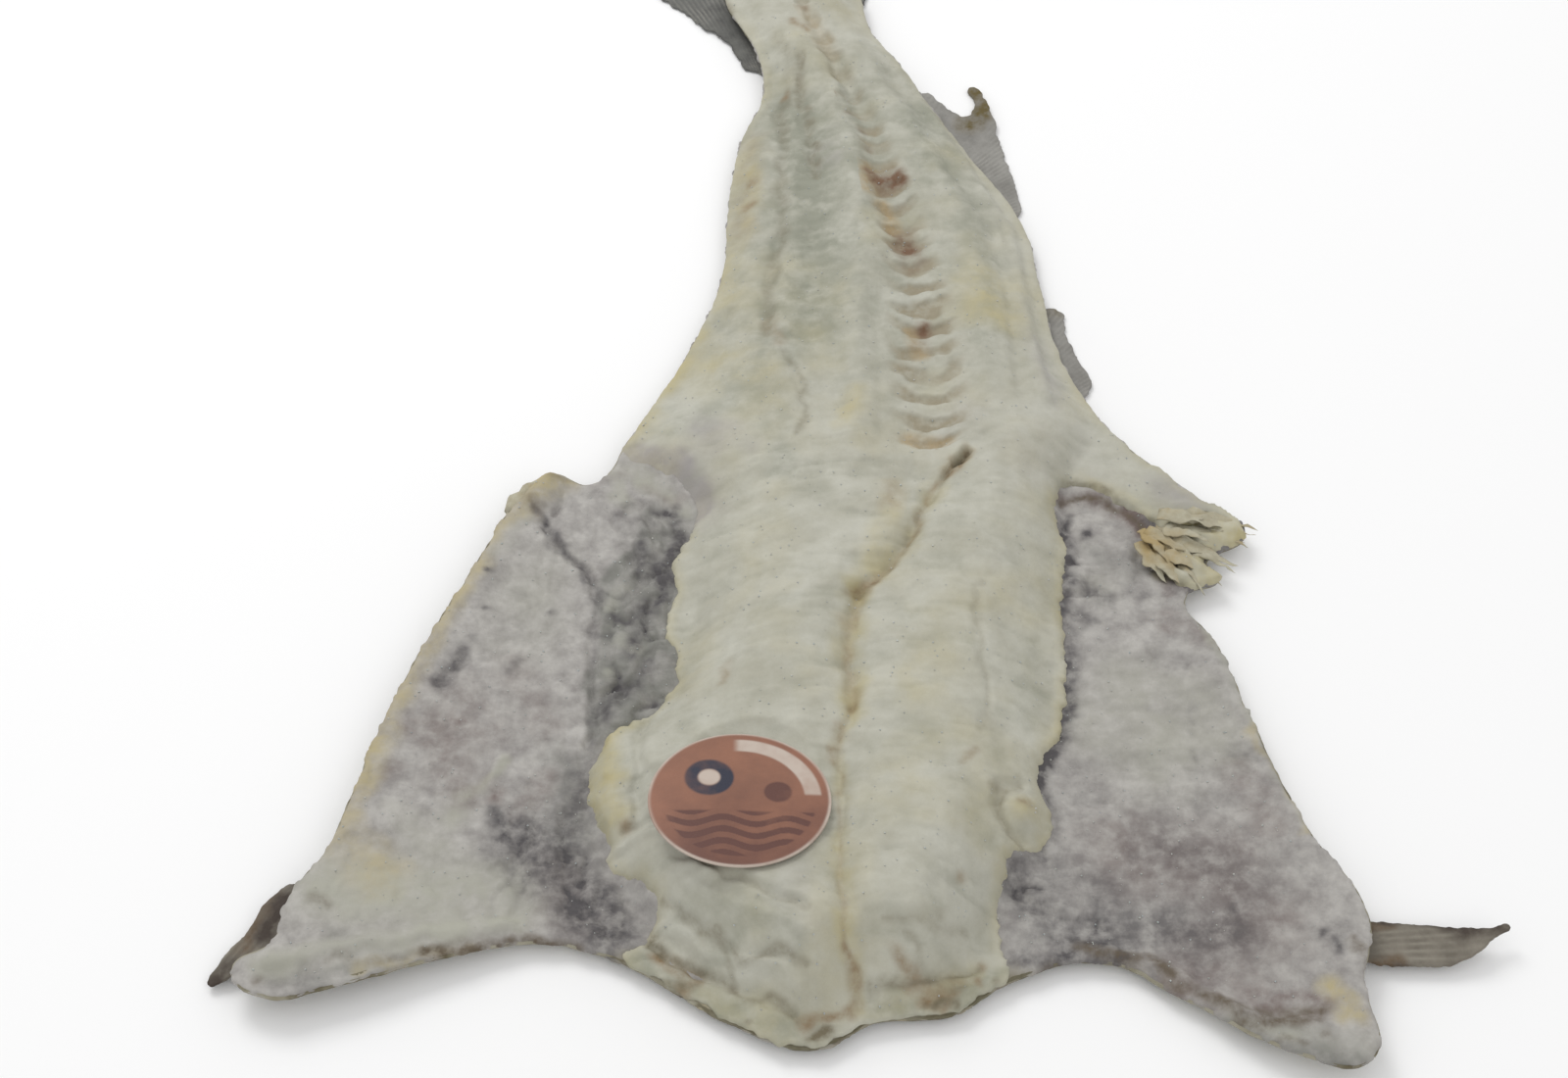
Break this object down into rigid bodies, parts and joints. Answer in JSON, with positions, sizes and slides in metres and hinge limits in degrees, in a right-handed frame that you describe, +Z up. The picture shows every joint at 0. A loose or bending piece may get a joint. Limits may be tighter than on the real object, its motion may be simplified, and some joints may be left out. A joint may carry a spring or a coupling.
{
  "type": "salted dried cod",
  "caption": "Beheaded cod, split from the belly, opened flat, salted and dried, with its fins and a round price tag; lies skin down.",
  "frame": {"origin": "bottom centre of the whole fish's box, on the table it lies on", "axes": "+Y towards the tail, +X to the right with the tail pointing away and the flesh side up, +Z up"},
  "size_m": [0.4346, 0.674, 0.0363],
  "materials": {
    "cod_flesh": "matt dry salted flesh, with belly lining and skin",
    "cod_bone": "dry backbone with shreds of flesh",
    "pectoral_fin": "dried brown fin",
    "anal_fin": "dried grey fin",
    "tail_fin": "dried grey fin",
    "tag_card": "coated printed card"
  },
  "bodies": {
    "root": {"body": "cod_flesh", "backbone": "cod_bone", "pectoral_fin_right": "pectoral_fin", "pectoral_fin_left": "pectoral_fin", "anal_fin_front": "anal_fin", "anal_fin_rear": "anal_fin", "tail_fin": "tail_fin", "tag": "tag_card"}
  },
  "joints": []
}
